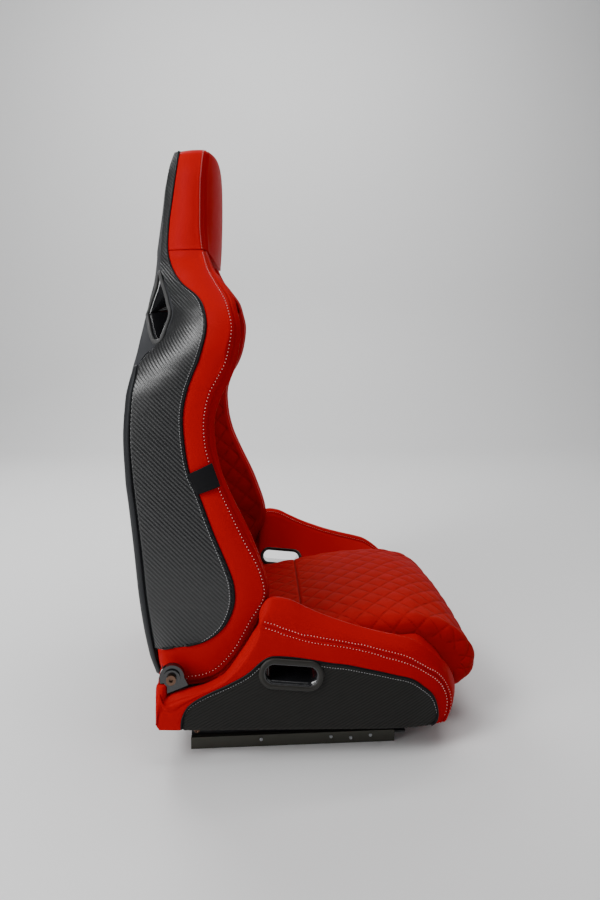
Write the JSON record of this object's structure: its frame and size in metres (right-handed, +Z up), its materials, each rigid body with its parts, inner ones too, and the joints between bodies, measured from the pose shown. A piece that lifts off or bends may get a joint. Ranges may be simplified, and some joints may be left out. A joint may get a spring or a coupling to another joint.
{
  "type": "racing seat",
  "caption": "Reclining bucket-style sports seat with quilted inserts, tall side bolsters, harness openings, a built-in headrest and fore-aft slider rails.",
  "frame": {"origin": "centre of the floor bolt pattern, on the underside of the lower rails", "axes": "+X to the front of the seat, +Y to the sitter's left, +Z up"},
  "size_m": [0.5923, 0.554, 0.982],
  "materials": {
    "red_leatherette": "satin grained",
    "red_quilted_suede": "soft quilted",
    "woven_vinyl": "diagonal ribs",
    "shell_plastic": "matt",
    "gloss_black_plastic": "gloss",
    "soft_black_grip": "matt",
    "black_nylon": "matt",
    "woven_label": "woven",
    "black_painted_steel": "satin powder coat",
    "olive_coated_steel": "satin",
    "zinc_steel": "zinc plated",
    "bronze_bush": "turned"
  },
  "bodies": {
    "floor_rails": {"lower_rail_right": "olive_coated_steel", "lower_rail_left": "olive_coated_steel", "rail_rollers": "zinc_steel", "rail_end_stops": "black_nylon"},
    "seat_base": {"upper_rail_right": "black_painted_steel", "upper_rail_left": "black_painted_steel", "rail_bolts": "zinc_steel", "mounting_bars": "black_painted_steel", "base_side_plate_right": "black_painted_steel", "base_side_plate_left": "black_painted_steel", "base_cross_tubes": "black_painted_steel", "cushion_support_wires": "zinc_steel", "cushion_insert": "red_quilted_suede", "thigh_bolster_right": "red_leatherette", "thigh_bolster_left": "red_leatherette", "base_side_panel_right": "woven_vinyl", "base_side_panel_left": "woven_vinyl", "base_rear_cover": "red_leatherette", "lap_bezel_right": "gloss_black_plastic", "lap_bezel_left": "gloss_black_plastic", "pivot_bolt_right": "zinc_steel", "pivot_bolt_left": "zinc_steel", "pivot_cover_right": "gloss_black_plastic", "recliner_housing": "black_painted_steel", "recliner_spring": "zinc_steel", "release_pivots": "zinc_steel"},
    "backrest": {"back_frame": "black_painted_steel", "back_cross_bars": "black_painted_steel", "hinge_arm_right": "black_painted_steel", "hinge_arm_left": "black_painted_steel", "pivot_bush_right": "bronze_bush", "pivot_bush_left": "bronze_bush", "back_support_wires": "zinc_steel", "back_insert": "red_quilted_suede", "back_bolster_right": "red_leatherette", "back_bolster_left": "red_leatherette", "headrest_pad": "red_leatherette", "back_shell": "shell_plastic", "back_side_panel_right": "woven_vinyl", "back_side_panel_left": "woven_vinyl", "harness_bezel_right": "gloss_black_plastic", "harness_bezel_left": "gloss_black_plastic", "side_tag": "woven_label"},
    "release_bar": {"release_bar": "zinc_steel", "track_latches": "zinc_steel"},
    "recline_lever": {"recline_lever": "black_painted_steel", "lever_grip": "soft_black_grip"}
  },
  "joints": [
    {"name": "track_slide", "type": "slide", "parent": "floor_rails", "child": "seat_base", "axis": [1, 0, 0], "range_m": [-0.09, 0.09]},
    {"name": "recline", "type": "hinge", "parent": "seat_base", "child": "backrest", "pos_m": [-0.189, 0, 0.133], "axis": [0, 1, 0], "range_deg": [-50, 0]},
    {"name": "release_lift", "type": "hinge", "parent": "seat_base", "child": "release_bar", "pos_m": [0.12, 0, 0.031], "axis": [0, -1, 0], "range_deg": [0, 8], "stiffness_Nm_per_rad": 6, "springref_deg": -20.05},
    {"name": "lever_lift", "type": "hinge", "parent": "seat_base", "child": "recline_lever", "pos_m": [-0.189, 0.25, 0.133], "axis": [0, -1, 0], "range_deg": [0, 20], "stiffness_Nm_per_rad": 1.5, "springref_deg": -20.05}
  ]
}
